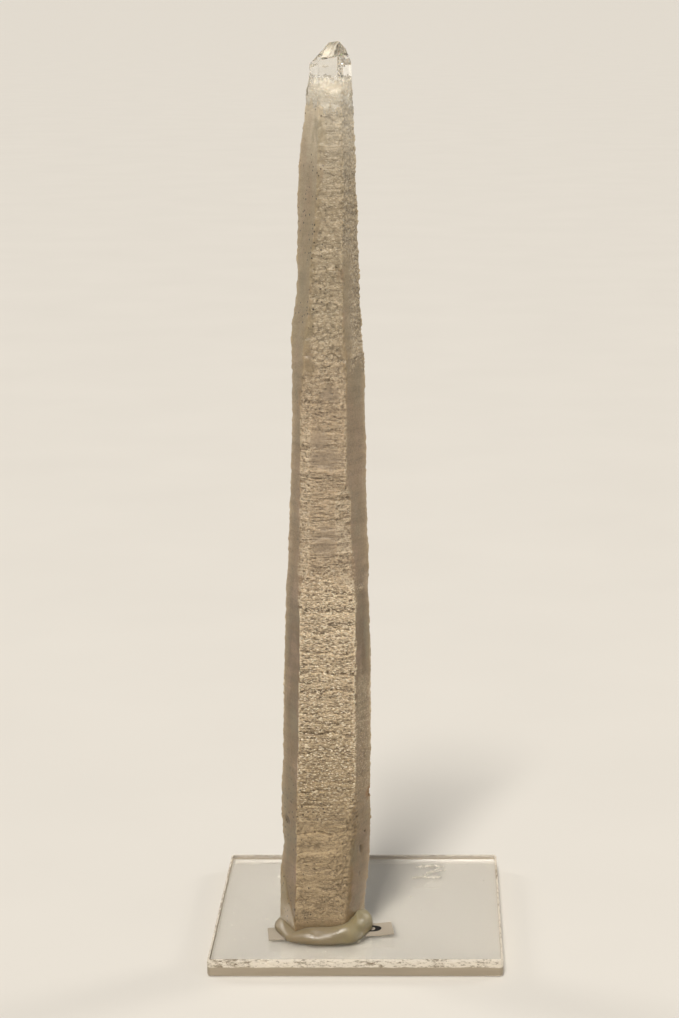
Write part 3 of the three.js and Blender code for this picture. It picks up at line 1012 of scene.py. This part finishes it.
def quartz():
    piece = start_from("quartz_crystal", "quartz")
    height = (crystal_high.z - crystal_low.z) / MM
    filling = height / (GRID * 2**OCTREE)
    apply(piece, "REMESH", mode="SHARP", octree_depth=OCTREE, scale=filling, sharpness=1.0)
    outline = outline_by_height(piece)
    weigh(piece, "blunt", blunt_weight)
    apply(piece, "SMOOTH", factor=0.8, iterations=25, vertex_group="blunt")
    weigh(piece, "worn", ledge_weight)
    apply(piece, "SMOOTH", factor=0.7, iterations=14, vertex_group="worn")
    pick_faces(piece, needs_detail)
    bpy.ops.mesh.subdivide(number_cuts=1)
    done()

    # Weight for the painted glow near the left and right outline.
    def painted_rim_glow(place, normal):
        left, right = outline[int(place.z)]
        return ramp(min(place.x - left, right - place.x), 1.1, 0.0)

    weights = {
        "satin": lambda place, normal: fades_out(place),
        "edges": edge_weight,
        "notched": notched_weight,
        "banded": banded_weight,
        "grainy": grainy_weight,
        "striped": striped_weight,
        "scaly": scaly_weight,
        "crumbly": crumbly_weight,
        "wrinkled": wrinkled_weight,
        "pebbled": pebbled_weight,
        "rough": rough_weight,
        "calm": calm_weight,
        "film": film_weight,
        "hollowed": hollow_weight,
        "below shoulder": below_shoulder,
        "thin": painted_rim_glow,
    }
    for group, weight_at in weights.items():
        weigh(piece, group, weight_at)

    carve(piece, "CLOUDS", (5, 5, 9), 0.25, "satin", noise_depth=1)
    carve(piece, "CLOUDS", (0.7, 0.7, 0.6), 0.42, "edges", noise_depth=2)
    carve(piece, "CLOUDS", (3.0, 3.0, 3.2), 0.7, "notched", noise_depth=3)
    carve(piece, "CLOUDS", (6, 6, 1.3), 0.3, "banded", noise_depth=2)
    carve(
        piece, "MUSGRAVE", (1.3, 1.3, 0.42), 0.1, "grainy", noise_intensity=1.0,
        musgrave_type="RIDGED_MULTIFRACTAL", octaves=3, dimension_max=0.8, lacunarity=2.0,
    )
    carve_cells(piece, (1.1, 1.1, 0.36), 0.11, "grainy", 0.5)
    carve(piece, "CLOUDS", (2.2, 2.2, 0.45), 0.26, "striped", noise_depth=2, noise_type="HARD_NOISE")
    carve_cells(piece, (1.5, 1.5, 1.05), 0.12, "scaly", 0.15)
    carve(piece, "CLOUDS", (1.1, 1.1, 0.7), 0.12, "scaly", noise_depth=2)
    carve_cells(piece, (0.7, 0.7, 0.5), 0.12, "crumbly", 0.4)
    carve(piece, "CLOUDS", (3.0, 3.0, 1.0), 0.1, "wrinkled", noise_depth=3, noise_type="HARD_NOISE")
    carve_cells(piece, (0.8, 0.8, 0.7), 0.2, "pebbled", 0.45)
    apply(piece, "DISPLACE", strength=0.12 * MM, mid_level=0.0, vertex_group="film")
    apply(piece, "DISPLACE", strength=-0.22 * MM, mid_level=0.0, vertex_group="hollowed")

    growth = growth_texture_group()
    thick_haze = hazy_quartz(growth, "thick quartz haze", 0.45)
    thin_haze = hazy_quartz(growth, "thin quartz haze", 0.8)
    dress(piece, milky_quartz(growth), thick_haze, thin_haze, clear_quartz())
    for face in piece.data.polygons:
        place = face.center / MM
        level = place.z + ragged(place, 1.9)
        face.material_index = (level > THICK_HAZE_FROM) + (level > THIN_HAZE_FROM) + (level > CLEAR_FROM)
    smooth_but_keep_edges(piece, 35)
    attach(piece, "root")
    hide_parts("quartz_crystal")
    return growth


def veil(growth):
    """The mist that fills the crystal up to its clear tip, just under the skin."""
    piece = start_from("quartz_crystal", "veil")
    cut_level(piece, VEIL_FROM * MM, clear_inner=True)
    cut_level(piece, VEIL_TOP * MM, clear_outer=True)
    apply(piece, "REMESH", mode="VOXEL", voxel_size=VEIL_GRID * MM)
    offset_skin(piece, -VEIL_INSET)
    weigh(piece, "wispy", lambda place, normal: ramp(place.z, VEIL_FADE_FROM, VEIL_TOP))
    carve(piece, "CLOUDS", (1.6, 1.6, 1.6), 1.4, "wispy", noise_depth=2)
    dress(piece, veil_quartz(growth))
    smooth_but_keep_edges(piece, 60)
    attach(piece, "root")
    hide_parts("quartz_crystal")


# ---- The mounting putty ----

# The lip pressed up against the foot: x, y, z and radius of each point, in mm.
LIP_ROLL = [
    (-12.2, -11.0, 4.0, 0.4),
    (-12.1, -13.6, 4.1, 0.55),
    (-11.2, -16.2, 4.0, 0.7),
    (-9.3, -17.5, 3.85, 0.85),
    (-6.6, -17.8, 3.95, 0.95),
    (-4.0, -17.7, 4.4, 1.05),
    (-1.8, -17.2, 4.9, 1.15),
    (-0.4, -16.0, 5.4, 1.3),
    (0.5, -14.3, 5.85, 1.3),
    (0.6, -12.4, 5.7, 1.1),
    (0.1, -10.2, 4.9, 0.7),
]


# Size in mm of the putty's mesh. CORE is the lump under the foot: half its length and width, and its depth.
PUTTY_GRID = 0.2
CORE = Vector((6.9, 4.9, 3.2))


def rolled_string(name, points):
    """A soft round string along the listed points, thick and thin as each point says."""
    path = bpy.data.curves.new(name, "CURVE")
    path.dimensions = "3D"
    path.bevel_depth = MM
    path.bevel_resolution = 6
    path.resolution_u = 8
    spline = path.splines.new("NURBS")
    spline.points.add(len(points) - 1)
    for point, (x, y, z, radius) in zip(spline.points, points):
        point.co = (x * MM, y * MM, z * MM, 1)
        point.radius = radius
    spline.order_u = 3
    spline.use_endpoint_u = True
    path.use_fill_caps = True
    select_only(add_object(name, path))
    bpy.ops.object.convert(target="MESH")
    return bpy.context.object


def putty():
    piece = start_from("mounting_putty", "putty")
    lip = rolled_string("lip", LIP_ROLL)
    low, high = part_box("mounting_putty")
    middle = (low + high) / 2
    bpy.ops.mesh.primitive_cylinder_add(
        vertices=24, radius=1, depth=CORE.z * MM, location=(middle.x, middle.y, PLATE_TOP + 1.0 * MM)
    )
    core = bpy.context.object
    core.scale = (CORE.x * MM, CORE.y * MM, 1)
    settle(core)
    piece = join([piece, lip, core], "putty")
    apply(piece, "REMESH", mode="VOXEL", voxel_size=PUTTY_GRID * MM)
    offset_skin(piece, 0.12)
    apply(piece, "REMESH", mode="VOXEL", voxel_size=PUTTY_GRID * MM)
    apply(piece, "SMOOTH", factor=0.7, iterations=24)
    weigh(piece, "left top", lambda place, normal: ramp(place.x, -8.0, -11.5) * ramp(place.z, 3.8, 6.0))
    weigh(piece, "right top", lambda place, normal: ramp(place.x, -0.4, 1.2) * ramp(place.z, 5.4, 7.6))
    apply(piece, "DISPLACE", direction="Z", strength=-0.5 * MM, mid_level=0.0, vertex_group="left top")
    apply(piece, "DISPLACE", direction="X", strength=0.6 * MM, mid_level=0.0, vertex_group="left top")
    apply(piece, "DISPLACE", direction="X", strength=-1.0 * MM, mid_level=0.0, vertex_group="right top")
    apply(piece, "SMOOTH", factor=0.7, iterations=16)
    apply(piece, "SMOOTH", factor=0.7, iterations=40, vertex_group="left top")
    weigh(piece, "front lip", lambda place, normal: ramp(place.y, -14.8, -16.2) * ramp(place.x, -0.8, -2.4))
    apply(piece, "SMOOTH", factor=0.7, iterations=40, vertex_group="front lip")
    weigh(piece, "kneaded", lambda place, normal: 1.0)
    carve(piece, "CLOUDS", (3.2, 3.2, 2.2), 0.12, "kneaded", noise_depth=1)
    cut_level(piece, PLATE_TOP + 0.02 * MM, clear_inner=True)
    dress(piece, putty_material())
    smooth_but_keep_edges(piece, 60)
    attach(piece, "root")
    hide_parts("mounting_putty")
    return piece


# ---- The base plate ----

# Rounding of the plate's upright corners and of its rim, in mm.
CORNER_ROUNDING = 0.7
RIM = 0.4
# Chips knocked out of the rim: where each run of them starts and ends along X and Y, in mm, and how many.
CHIP_CLUSTERS = [
    {"start": (-24.2, -25.0), "end": (-14.0, -25.0), "count": 18},
    {"start": (-14.0, -25.0), "end": (3.0, -25.0), "count": 6},
    {"start": (3.0, -25.0), "end": (9.0, -25.0), "count": 12},
    {"start": (9.0, -25.0), "end": (24.0, -25.0), "count": 8},
    {"start": (-25.0, -24.0), "end": (-25.0, -4.0), "count": 18},
    {"start": (-24.0, 25.0), "end": (24.0, 25.0), "count": 6},
    {"start": (25.0, -20.0), "end": (25.0, 20.0), "count": 6},
]

# Trails of dried glue behind the crystal: x, y, z and radius of each point, in mm.
GLUE_TRAILS = [
    [(9.8, 18.1, 3.0, 0.16), (11.6, 18.4, 3.05, 0.3), (13.2, 18.6, 3.05, 0.34), (15.0, 18.5, 3.0, 0.16)],
    [(14.2, 17.6, 3.0, 0.12), (12.9, 15.9, 3.02, 0.2), (11.6, 14.6, 3.02, 0.22), (11.2, 13.1, 3.02, 0.24),
     (12.6, 12.6, 3.02, 0.22), (14.0, 12.7, 3.05, 0.28), (14.5, 13.6, 3.0, 0.14)],
    [(9.2, 12.6, 3.0, 0.18), (10.1, 12.8, 3.05, 0.32), (11.2, 13.0, 3.0, 0.16)],
    [(12.0, 14.9, 3.0, 0.1), (13.6, 16.0, 3.0, 0.12), (15.4, 16.6, 3.0, 0.1)],
]
DUST_COUNT = 70


def knock_chips(piece):
    """Cuts small broken hollows into the rim and the upper strip of its edge, strung along each cluster."""
    for number, cluster in enumerate(CHIP_CLUSTERS):
        start = Vector(cluster["start"])
        run = Vector(cluster["end"]) - start
        for i in range(cluster["count"]):
            chance = noise.cell_vector(Vector((number * 7.3, i * 3.1, 0.5)))
            radius = 0.2 + 0.34 * chance.y * chance.y
            x, y = start + run * (i + chance.x) / cluster["count"]
            z = PLATE_TOP / MM - (0.0 if chance.z < 0.6 else 1.0) * chance.x
            bpy.ops.mesh.primitive_ico_sphere_add(
                subdivisions=2, radius=radius * MM, location=(x * MM, y * MM, z * MM)
            )
            lump = bpy.context.object
            lump.scale = (1.9, 0.75, 0.7) if abs(run.x) > abs(run.y) else (0.75, 1.9, 0.7)
            lump.rotation_euler = (chance.z, 0.3 * chance.x, 0.3 * chance.y)
            settle(lump)
            dress(lump, *piece.data.materials)
            for face in lump.data.polygons:
                face.material_index = 1
            apply(piece, "BOOLEAN", operation="DIFFERENCE", object=lump, solver="EXACT")
            bpy.data.objects.remove(lump)


def dust_specks(material):
    """Grains of dust lying on the plate, most of them round the foot."""
    specks = []
    for i in range(DUST_COUNT):
        chance = noise.cell_vector(Vector((i * 2.3, 5.5, 1.5)))
        spread = noise.cell_vector(Vector((i * 1.7, 9.5, 3.5)))
        x = -24 + 48 * chance.x * (0.45 + 0.55 * spread.x)
        y = -24 + 46 * chance.y * (0.4 + 0.6 * spread.y)
        radius = 0.05 + 0.1 * chance.z * chance.z
        bpy.ops.mesh.primitive_ico_sphere_add(
            subdivisions=1, radius=radius * MM, location=(x * MM, y * MM, PLATE_TOP + 0.3 * radius * MM)
        )
        speck = bpy.context.object
        speck.scale = (1.0 + 2.0 * spread.z * spread.z, 0.8, 0.6)
        speck.rotation_euler = (0, 0, math.tau * spread.x)
        settle(speck)
        dress(speck, material)
        specks.append(speck)
    return specks


def base_plate():
    bpy.ops.mesh.primitive_cube_add(size=1, location=(plate_low + plate_high) / 2)
    piece = name_new_piece("base_plate")
    piece.scale = plate_high - plate_low
    settle(piece)
    pick_edges(piece, lambda a, b: abs(a.z - b.z) > MM)
    bpy.ops.mesh.bevel(offset=CORNER_ROUNDING * MM, segments=5, affect="EDGES")
    done()
    pick_edges(piece, lambda a, b: abs(a.z - b.z) < 1e-6)
    bpy.ops.mesh.bevel(offset=RIM * MM, segments=2, affect="EDGES")
    done()
    dress(piece, polished_acrylic(), sawn_acrylic())
    for face in piece.data.polygons:
        face.material_index = 0 if abs(face.normal.z) > 0.99 else 1
    knock_chips(piece)
    smooth_but_keep_edges(piece, 20)
    glue = dried_glue()
    trails = [rolled_string("glue", points) for points in GLUE_TRAILS]
    for trail in trails:
        dress(trail, glue)
    piece = join([piece] + trails + dust_specks(settled_dust()), "base_plate")
    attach(piece, "root")
    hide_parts("acrylic_base")
    return piece


# ---- The label ----

LABEL_LENGTH = 21.6
LABEL_WIDTH = 5.1
LABEL_THICK = 0.25
LABEL_CENTRE = Vector((-4.65, -13.0))
LABEL_YAW = math.radians(6.5)
INK_RING_CENTRE = (2.45, -11.9, 3.0)


def label():
    place = (LABEL_CENTRE.x * MM, LABEL_CENTRE.y * MM, PLATE_TOP)
    bpy.ops.mesh.primitive_grid_add(x_subdivisions=72, y_subdivisions=17, size=1, location=place)
    piece = name_new_piece("label")
    piece.scale = (LABEL_LENGTH * MM, LABEL_WIDTH * MM, 1)
    piece.rotation_euler = (0, 0, LABEL_YAW)
    settle(piece)
    middle = Vector((LABEL_CENTRE.x * MM, LABEL_CENTRE.y * MM, 0))
    turn = Matrix.Rotation(-LABEL_YAW, 3, "Z")
    for point in piece.data.vertices:
        along = (turn @ (point.co - middle)).x / MM
        lift = 0.16 * ramp(along, LABEL_LENGTH / 2 - 3.0, LABEL_LENGTH / 2)
        lift += 0.05 * abs(noise.noise(point.co / (2.5 * MM)))
        point.co.z += lift * MM
        point.co.y += 0.03 * MM * noise.noise(Vector((point.co.x / MM, 0.4, 7.0)))
    apply(piece, "SOLIDIFY", thickness=LABEL_THICK * MM, offset=1.0)
    dress(piece, paper_material(INK_RING_CENTRE, LABEL_YAW))
    smooth_but_keep_edges(piece, 40)
    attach(piece, "root")
    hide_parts("paper_label")
    return piece


# ---- The studio ----


def floor():
    bpy.ops.mesh.primitive_plane_add(size=60, location=(0, 0, plate_low.z - 0.1 * MM))
    piece = name_new_piece("floor")
    settle(piece)
    dress(piece, floor_material())
    return piece


# How bright the room is for the object, and how bright it is to look at.
ROOM_LIGHT = 0.22
ROOM_SEEN = 0.66


def broad_light(name, place, strength, softness, colour):
    """An even, far-off light on the object. softness is how wide it looks from there, in degrees."""
    lamp = bpy.data.lights.new(name, "SUN")
    lamp.energy = strength
    lamp.angle = math.radians(softness)
    lamp.color = colour
    holder = add_object(name, lamp)
    holder.location = place
    holder.rotation_euler = (-Vector(place)).to_track_quat("-Z", "Y").to_euler()


def studio():
    """Soft daylight-like lighting: a high key from the front, a weak fill and two rim lights from behind.

    The room is pale to look at, and gives the object a softer light than it shows."""
    world = bpy.data.worlds.new("studio")
    world.use_nodes = True
    tree = world.node_tree
    room = tree.nodes["Background"]
    room.inputs["Color"].default_value = (1.0, 0.97, 0.925, 1)
    seen = node(tree, "ShaderNodeLightPath").outputs["Is Camera Ray"]
    brightness = calculate(tree, "MULTIPLY_ADD", seen, ROOM_SEEN - ROOM_LIGHT, ROOM_LIGHT)
    tree.links.new(brightness, room.inputs["Strength"])
    bpy.context.scene.world = world
    warm = (1.0, 0.95, 0.88)
    broad_light("key", (-0.16, -0.8, 1.15), 3.0, 12, warm)
    broad_light("fill", (1.0, -0.8, 0.6), 0.35, 40, warm)
    broad_light("left_rim", (-1.0, 0.6, 0.5), 0.8, 14, warm)
    broad_light("right_rim", (1.0, 0.6, 0.5), 0.8, 14, warm)
    bpy.context.scene.view_settings.view_transform = "Standard"


# ---- The camera ----

# The frame, the focal length and the column that the camera faces, in pixels; the sensor and the place in mm.
FRAME_HEIGHT = 1018
FRAME_WIDTH = 679
FOCAL = 2378
CENTRE_COLUMN = 437
SENSOR = 36
CAMERA_PLACE = Vector((13.78, -399.4, 163.4))
PITCH_DEG = 12.45


def camera():
    eye = bpy.data.cameras.new("camera")
    eye.sensor_width = SENSOR
    eye.lens = FOCAL * SENSOR / FRAME_HEIGHT
    eye.shift_x = -(CENTRE_COLUMN - FRAME_WIDTH / 2) / FRAME_HEIGHT
    eye.clip_start = 0.01
    eye.clip_end = 100
    holder = add_object("camera", eye)
    holder.location = CAMERA_PLACE * MM
    holder.rotation_euler = (math.radians(90 - PITCH_DEG), 0, 0)
    bpy.context.scene.camera = holder


camera()
studio()
floor()
base_plate()
label()
putty()
veil(quartz())
